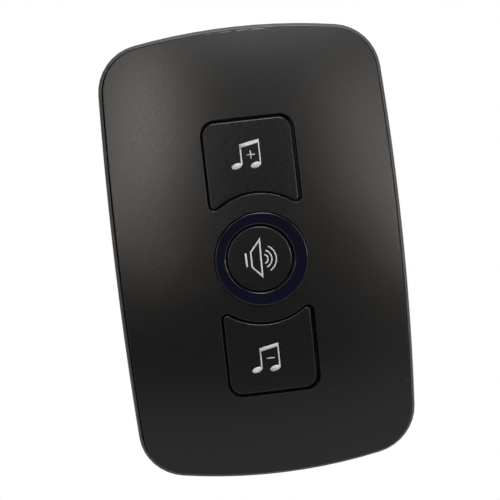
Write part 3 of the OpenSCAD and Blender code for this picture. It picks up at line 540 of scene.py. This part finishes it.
def note_head(across, up):
    """The oval head of a note, tilted up to the right."""
    bpy.ops.object.select_all(action="DESELECT")
    bpy.ops.mesh.primitive_circle_add(vertices=40, radius=1, fill_type="NGON", rotation=(math.pi / 2, 0, 0))
    head = bpy.context.object
    head.scale = head_size
    head.rotation_euler.y = head_tilt
    head.location = (across * MM, bar_front, control_height + up * MM)
    bpy.ops.object.transform_apply(location=True, rotation=True, scale=True)
    bpy.ops.object.mode_set(mode="EDIT")
    return bar_of_ink()


def sound_wave(across, up, radius, width, spread):
    """One arc of the loudspeaker's sound, open to the left."""
    middle = (across * MM, bar_front, control_height + up * MM)
    bpy.ops.object.select_all(action="DESELECT")
    bpy.ops.mesh.primitive_circle_add(vertices=96, radius=(radius - width / 2) * MM,
                                      rotation=(math.pi / 2, 0, 0), location=middle)
    bpy.ops.object.transform_apply(location=True, rotation=True, scale=True)
    bpy.ops.object.mode_set(mode="EDIT")
    bpy.ops.mesh.select_mode(type="VERT")
    ring = bmesh.from_edit_mesh(bpy.context.object.data)
    for point in ring.verts:
        aside = point.co - Vector(middle)
        point.select = abs(math.atan2(aside.z, aside.x)) > math.radians(spread)
    ring.select_flush_mode()
    bpy.ops.mesh.delete(type="VERT")
    bpy.ops.mesh.select_all(action="SELECT")
    bpy.ops.mesh.extrude_edges_move()
    grown = (radius + width / 2) / (radius - width / 2)
    bpy.ops.transform.resize(value=(grown, grown, grown), center_override=middle)
    return bar_of_ink()


def horn(corners, width):
    """The loudspeaker's horn, drawn as an outline of even width."""
    flat_start(0, 0, 1, 1)
    plate = bmesh.from_edit_mesh(bpy.context.object.data)
    for corner in plate.verts:
        right = corner.co.x > 0
        high = corner.co.z > control_height
        across, up = corners[(2 if right else 0) + (1 if high else 0)]
        corner.co = Vector((across * MM, bar_front, control_height + up * MM))
    bpy.ops.mesh.select_all(action="SELECT")
    bpy.ops.mesh.inset(thickness=width * MM, use_even_offset=True)
    bpy.ops.mesh.delete(type="FACE")
    return bar_of_ink()


# Pad-printing ink: pale grey and matt, in a thin coat that is not quite even.
grey_ink = moulded_plastic("pale_grey_ink", ("#a0a5ac", "#a9aeb4"), (0.45, 0.6), 0.2 * MM, 0.004 * MM)


def printed(name, cap, bars):
    """Joins the bars of a sign and keeps their skin on the cap's crown, which rides with the cap."""
    skin = merged_copy(cap)
    skin.name = name
    bpy.ops.mesh.select_mode(type="FACE")
    shell = bmesh.from_edit_mesh(skin.data)
    for face in shell.faces:
        on_crown = face.calc_center_median().y < crown.y + crown_depth
        face.select = not (face.normal.y < looks_forward and on_crown)
    shell.select_flush_mode()
    bpy.ops.mesh.delete(type="FACE")
    bpy.ops.object.mode_set(mode="OBJECT")
    thick = skin.modifiers.new("ink", "SOLIDIFY")
    thick.thickness = ink_depth
    thick.offset = 1
    bpy.ops.object.modifier_apply(modifier=thick.name)
    sign = bars[0]
    for bar in bars[1:]:
        join = sign.modifiers.new("join", "BOOLEAN")
        join.operation = "UNION"
        join.object = bar
        bpy.context.view_layer.objects.active = sign
        bpy.ops.object.modifier_apply(modifier=join.name)
    cut = skin.modifiers.new("cut", "BOOLEAN")
    cut.operation = "INTERSECT"
    cut.object = sign
    bpy.context.view_layer.objects.active = skin
    bpy.ops.object.modifier_apply(modifier=cut.name)
    for bar in bars:
        bpy.data.objects.remove(bar)
    skin.data.materials.clear()
    skin.data.materials.append(grey_ink)
    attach(skin, cap)


# A stroke is given by its left, right, bottom and top, a head by its middle, and a wave by its middle, radius
# and width, all in millimetres from the middle of the controls.
printed("next_tune_sign", "next_tune_button", [
    stroke(-2.0, -1.69, 19.45, 23.4), stroke(1.84, 2.1, 19.3, 24.3), stroke(-2.0, 2.1, 22.8, 23.56, 0.76),
    note_head(-2.9, 19.25), note_head(0.97, 19.12),
    stroke(-0.67, 1.0, 21.17, 21.39), stroke(0.02, 0.24, 20.4, 22.12),
])
printed("previous_tune_sign", "previous_tune_button", [
    stroke(-2.5, -2.2, -22.75, -18.6), stroke(1.23, 1.51, -22.75, -17.7),
    stroke(-2.52, 1.5, -19.2, -18.44, 0.8),
    note_head(-3.35, -22.94), note_head(0.42, -22.97), stroke(-1.15, 0.5, -20.83, -20.62),
])
printed("volume_sign", "volume_button", [
    horn(((-2.28, -1.55), (-2.28, 1.66), (-0.06, -4.0), (0.1, 4.42)), 0.33),
    stroke(-3.35, -2.96, -1.38, 1.49),
    sound_wave(0.3, -0.08, 0.96, 0.28, 72), sound_wave(0.21, -0.07, 1.85, 0.28, 71),
    sound_wave(0.09, -0.06, 2.88, 0.26, 61),
])

# Board. A green glass-cloth board, lacquered on both sides, screwed to four posts behind the cover.
# It carries the switches and lamps in front, and the radio, the sound chip and the mains parts behind.
# A wave texture repeats after this much of its own measure.
wave_period = math.pi / 10
thread_pitch = 0.5 * MM
track_pitch = 5 * MM
track_height = 0.03 * MM


def dressed(material, *nodes):
    """Gives CAD nodes their finish."""
    for node in nodes:
        frame["nodes"][node].data.materials.clear()
        frame["nodes"][node].data.materials.append(material)


def lacquered_board(name, tints, copper):
    """Solder mask over woven glass: the weave shows as a faint check, and the tracks as paler lines under
    it."""
    made, tree, shader, place = start_material(name)
    across = add_node(tree, "ShaderNodeTexWave", {"bands_direction": "X"}, Vector=place,
                      Scale=wave_period / thread_pitch, Distortion=0.6)
    along = add_node(tree, "ShaderNodeTexWave", {"bands_direction": "Z"}, Vector=place,
                     Scale=wave_period / thread_pitch, Distortion=0.6)
    weave = add_node(tree, "ShaderNodeMath", {"operation": "MULTIPLY"}, in0=across.outputs["Fac"],
                     in1=along.outputs["Fac"])
    cloth = add_node(tree, "ShaderNodeMix", {"data_type": "RGBA"}, in0=weave.outputs[0],
                     in6=linear(tints[0]), in7=linear(tints[1]))
    flat = add_node(tree, "ShaderNodeMapping", Vector=place, Rotation=(math.pi / 2, 0, 0))
    tracks = add_node(tree, "ShaderNodeTexBrick", {"offset": 0.37, "squash": 0.6}, Vector=flat.outputs[0],
                      Color1=(0, 0, 0, 1), Color2=(0, 0, 0, 1), Mortar=(1, 1, 1, 1), Scale=1 / track_pitch,
                      Mortar_Size=0.05, Brick_Width=1.3, Row_Height=0.4)
    traced = add_node(tree, "ShaderNodeMix", {"data_type": "RGBA"}, in0=tracks.outputs["Color"],
                      in6=cloth.outputs[2], in7=linear(copper))
    tree.links.new(traced.outputs[2], shader.inputs["Base Color"])
    relief = add_node(tree, "ShaderNodeBump", Height=tracks.outputs["Color"], Distance=track_height)
    tree.links.new(relief.outputs[0], shader.inputs["Normal"])
    shader.inputs["Roughness"].default_value = 0.3
    return made


# Solder-masked glass laminate: glossy green, with the cloth's weave and the tracks showing through.
dressed(lacquered_board("green_glass_laminate", ("#14462a", "#1a5a35"), "#2f7a48"), "main_board")
dressed(lacquered_board("blue_glass_laminate", ("#173a63", "#1d4878"), "#37679c"), "receiver_module")

# Switch bases and plungers: black glass-filled nylon, matt and faintly fibrous.
filled_nylon = moulded_plastic("filled_nylon", ("#1a1a1b", "#242425"), (0.5, 0.65), 0.25 * MM, 0.01 * MM)
dressed(filled_nylon, "volume_switch", "next_tune_switch", "previous_tune_switch",
        "volume_plunger", "next_tune_plunger", "previous_tune_plunger")


tarnish_size = 3 * MM
line_height = 0.004 * MM


def worked_metal(name, tints, roughness, line, direction):
    """Metal with the lines that its making left: they cross one axis and break the gloss along it. They are
    drawn wide enough to show."""
    made, tree, shader, place = start_material(name)
    clouds = add_node(tree, "ShaderNodeTexNoise", Vector=place, Scale=1 / tarnish_size, Detail=3.0)
    tint = add_node(tree, "ShaderNodeMix", {"data_type": "RGBA"}, in0=clouds.outputs["Fac"],
                    in6=linear(tints[0]), in7=linear(tints[1]))
    tree.links.new(tint.outputs[2], shader.inputs["Base Color"])
    lines = add_node(tree, "ShaderNodeTexWave", {"bands_direction": direction}, Vector=place,
                     Scale=wave_period / line, Distortion=2.0, Detail=2.0)
    gloss = add_node(tree, "ShaderNodeMapRange", in0=lines.outputs["Fac"], in1=0.0, in2=1.0,
                     in3=roughness[0], in4=roughness[1])
    tree.links.new(gloss.outputs[0], shader.inputs["Roughness"])
    relief = add_node(tree, "ShaderNodeBump", Height=lines.outputs["Fac"], Distance=line_height)
    tree.links.new(relief.outputs[0], shader.inputs["Normal"])
    shader.inputs["Metallic"].default_value = 1.0
    return made


# Tinned steel sheet: grey and softly bright, with the rolling lines of the strip.
tinned_steel = worked_metal("tinned_steel", ("#a9acb0", "#c3c5c8"), (0.25, 0.42), 0.5 * MM, "X")
dressed(tinned_steel, "volume_switch_cover", "next_tune_switch_cover", "previous_tune_switch_cover")

# Lamp packages: milky resin with a yellow phosphor under it, so the tint drifts from cream to yellow.
lamp_resin = moulded_plastic("phosphor_resin", ("#e6dfb4", "#efe9d2"), (0.2, 0.3), 0.6 * MM, 0.005 * MM)
dressed(lamp_resin, "indicator_led_1", "indicator_led_2", "indicator_led_3", "indicator_led_4")

# Enamelled copper wire: warm metal under a clear orange varnish, bright on each turn.
copper_wire = worked_metal("enamelled_copper", ("#a8552a", "#c0703c"), (0.18, 0.3), 0.25 * MM, "Y")
dressed(copper_wire, "antenna_coil", "voice_coil")

# Moulded epoxy: charcoal and matt, with the fine sparkle of its filler.
moulded_epoxy = moulded_plastic("moulded_epoxy", ("#1c1c1e", "#272729"), (0.55, 0.7), 0.12 * MM, 0.006 * MM)
dressed(moulded_epoxy, "sound_chip", "bridge_rectifier")

# Film capacitor: a box of ochre polyester, filled with resin, with a soft moulded sheen.
ochre_polyester = moulded_plastic("ochre_polyester", ("#b98a24", "#c79a34"), (0.35, 0.5), 0.4 * MM, 0.01 * MM)
dressed(ochre_polyester, "film_capacitor")

# Shrink sleeve of the filter capacitor: glossy blue film, with the pale stripe that marks one pole.
sleeve_film, tree, shader, place = start_material("blue_shrink_film")
can_low, can_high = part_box("filter_capacitor")
half_stripe = 1.1 * MM
wrinkle_size = 1.5 * MM
wrinkle_height = 0.02 * MM
height = add_node(tree, "ShaderNodeSeparateXYZ", in0=place).outputs["Z"]
stripe = add_node(tree, "ShaderNodeMath", {"operation": "COMPARE"}, in0=height,
                  in1=(can_low.z + can_high.z) / 2, in2=half_stripe)
wrinkles = add_node(tree, "ShaderNodeTexNoise", Vector=place, Scale=1 / wrinkle_size, Detail=3.0)
film = add_node(tree, "ShaderNodeMix", {"data_type": "RGBA"}, in0=wrinkles.outputs["Fac"],
                in6=linear("#152a5c"), in7=linear("#1d3874"))
marked = add_node(tree, "ShaderNodeMix", {"data_type": "RGBA"}, in0=stripe.outputs[0],
                  in6=film.outputs[2], in7=linear("#c3c9d2"))
tree.links.new(marked.outputs[2], shader.inputs["Base Color"])
relief = add_node(tree, "ShaderNodeBump", Height=wrinkles.outputs["Fac"], Distance=wrinkle_height)
tree.links.new(relief.outputs[0], shader.inputs["Normal"])
shader.inputs["Roughness"].default_value = 0.22
dressed(sleeve_film, "filter_capacitor")

# Cement coat of the fusible resistor: grey-green and matt, with four painted rings along it.
cement_coat, tree, shader, place = start_material("resistor_cement")
body_low, body_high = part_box("fuse_resistor")
crust_grain = 0.4 * MM
crust_height = 0.02 * MM
along = add_node(tree, "ShaderNodeSeparateXYZ", in0=place).outputs["X"]
share = add_node(tree, "ShaderNodeMapRange", in0=along, in1=body_low.x, in2=body_high.x)
rings = add_node(tree, "ShaderNodeValToRGB", in0=share.outputs[0])
rings.color_ramp.interpolation = "CONSTANT"
painted = ((0.2, "#5a3016"), (0.28, "#7c8a84"), (0.36, "#141414"), (0.44, "#7c8a84"),
           (0.52, "#141414"), (0.6, "#7c8a84"), (0.74, "#b48a3a"), (0.82, "#7c8a84"))
rings.color_ramp.elements[0].color = linear("#7c8a84")
rings.color_ramp.elements.remove(rings.color_ramp.elements[1])
for start, colour in painted:
    rings.color_ramp.elements.new(start).color = linear(colour)
tree.links.new(rings.outputs["Color"], shader.inputs["Base Color"])
crust = add_node(tree, "ShaderNodeTexNoise", Vector=place, Scale=1 / crust_grain, Detail=3.0)
relief = add_node(tree, "ShaderNodeBump", Height=crust.outputs["Fac"], Distance=crust_height)
tree.links.new(relief.outputs[0], shader.inputs["Normal"])
shader.inputs["Roughness"].default_value = 0.6
dressed(cement_coat, "fuse_resistor")

# Zinc-plated screws: pale blue-grey metal with the turned rings of head and shank, a little dulled.
zinc_plate = worked_metal("zinc_plated_steel", ("#9ea3aa", "#bcc0c6"), (0.28, 0.5), 0.4 * MM, "Y")
dressed(zinc_plate, "board_screws", "case_screws", "plug_screws", "speaker_screws")

# Rear housing. A deep tray of black ABS with a coarser grain, screwed to the cover from behind.
# Its rim shows as a narrow line round the face; its back has the sound slots and four screw wells.

# Grained ABS: a dark grey more than a black, lighter than the cover partly as painted highlight on the rim.
# Its grain is coarse enough to dull the lamps on it.
grained_abs = moulded_plastic("grained_black_abs", ("#323233", "#383839"), (0.42, 0.54), 0.5 * MM, 0.015 * MM)
rim_drop = 2 * MM


def round_outside(line):
    """Tells an edge whose wall looks outward from one that looks into the housing."""
    middle = (line.verts[0].co + line.verts[1].co) / 2 - crown
    wall = min(line.link_faces, key=lambda face: abs(face.normal.y))
    return wall.normal.dot(middle) > 0


crowned("rear_housing", 0.12 * MM, 0.6 * MM, grained_abs, round_outside,
        dome_radius - rim_drop)

# Plug. A carrier of the same black ABS comes through the back, with two ears screwed inside the housing.
# The pins are pressed in: turned brass with a nickel plate, and sleeves of black nylon halfway along them.

# Carrier ABS: black and matt, from a plainer and coarser tool than the case.
carrier_abs = moulded_plastic("carrier_black_abs", ("#161618", "#1b1c1e"), (0.4, 0.54), 0.5 * MM, 0.02 * MM)
finished("plug_carrier", 0.25 * MM, carrier_abs)
# Nickel plate on turned brass: warm pale metal, with fine rings that are drawn wide enough to show.
nickel_plate = worked_metal("nickel_plated_brass", ("#b9b4aa", "#cfcac0"), (0.14, 0.26), 0.3 * MM, "Y")
# Sleeve nylon: black, with the faint waxy sheen of a drawn tube.
sleeve_nylon = moulded_plastic("sleeve_nylon", ("#141415", "#1c1c1d"), (0.35, 0.48), 0.4 * MM, 0.006 * MM)
for side in ("live", "neutral"):
    finished(side + "_pin", 0.12 * MM, nickel_plate)
    finished(side + "_sleeve", 0.1 * MM, sleeve_nylon)

# Leads. Soft PVC over stranded wire, soldered to the board: brown and blue for the mains, red and black
# for the loudspeaker. The skin is smooth and slightly waxy.
for node, tints in (("live_lead", ("#4f2d18", "#5c3820")), ("neutral_lead", ("#17418c", "#1f4d9c")),
                    ("speaker_lead_1", ("#8e1618", "#a01e20")), ("speaker_lead_2", ("#161617", "#1f1f20"))):
    dressed(moulded_plastic("pvc_" + node, tints, (0.35, 0.5), 0.8 * MM, 0.01 * MM), node)

# Loudspeaker. A pressed steel basket with a pulp cone in a film surround, behind a foam gasket.
# A steel pot with a disc magnet and a pole plate drives the coil; three screws hold the basket's rim.
dressed(tinned_steel, "speaker_frame", "speaker_pot", "speaker_pole")


fuzz_per_cell = 3


def fibrous(name, tints, cell, depth, roughness):
    """Matt stuff made of cells or fibres: their edges show as paler tint and as relief."""
    made, tree, shader, place = start_material(name)
    cells = add_node(tree, "ShaderNodeTexVoronoi", {"feature": "SMOOTH_F1"}, Vector=place, Scale=1 / cell)
    fuzz = add_node(tree, "ShaderNodeTexNoise", Vector=place, Scale=fuzz_per_cell / cell, Detail=4.0)
    mixed = add_node(tree, "ShaderNodeMath", {"operation": "MULTIPLY"}, in0=cells.outputs["Distance"],
                     in1=fuzz.outputs["Fac"])
    tint = add_node(tree, "ShaderNodeMix", {"data_type": "RGBA"}, in0=mixed.outputs[0],
                    in6=linear(tints[0]), in7=linear(tints[1]))
    tree.links.new(tint.outputs[2], shader.inputs["Base Color"])
    relief = add_node(tree, "ShaderNodeBump", Height=mixed.outputs[0], Distance=depth)
    tree.links.new(relief.outputs[0], shader.inputs["Normal"])
    shader.inputs["Roughness"].default_value = roughness
    return made


# Foam: soft charcoal cells. Pulp: black paper felt. Film: thin black polyester. Ferrite: sintered grey.
dressed(fibrous("gasket_foam", ("#1c1c1e", "#3a3a3d"), 0.5 * MM, 0.15 * MM, 0.9), "speaker_gasket")
dressed(fibrous("cone_pulp", ("#1b1a18", "#35332f"), 0.7 * MM, 0.04 * MM, 0.85), "speaker_cone")
dressed(fibrous("surround_film", ("#121213", "#202022"), 0.9 * MM, 0.02 * MM, 0.5), "speaker_surround")
dressed(fibrous("sintered_ferrite", ("#2a2a2c", "#3c3c3f"), 0.3 * MM, 0.02 * MM, 0.6), "speaker_magnet")
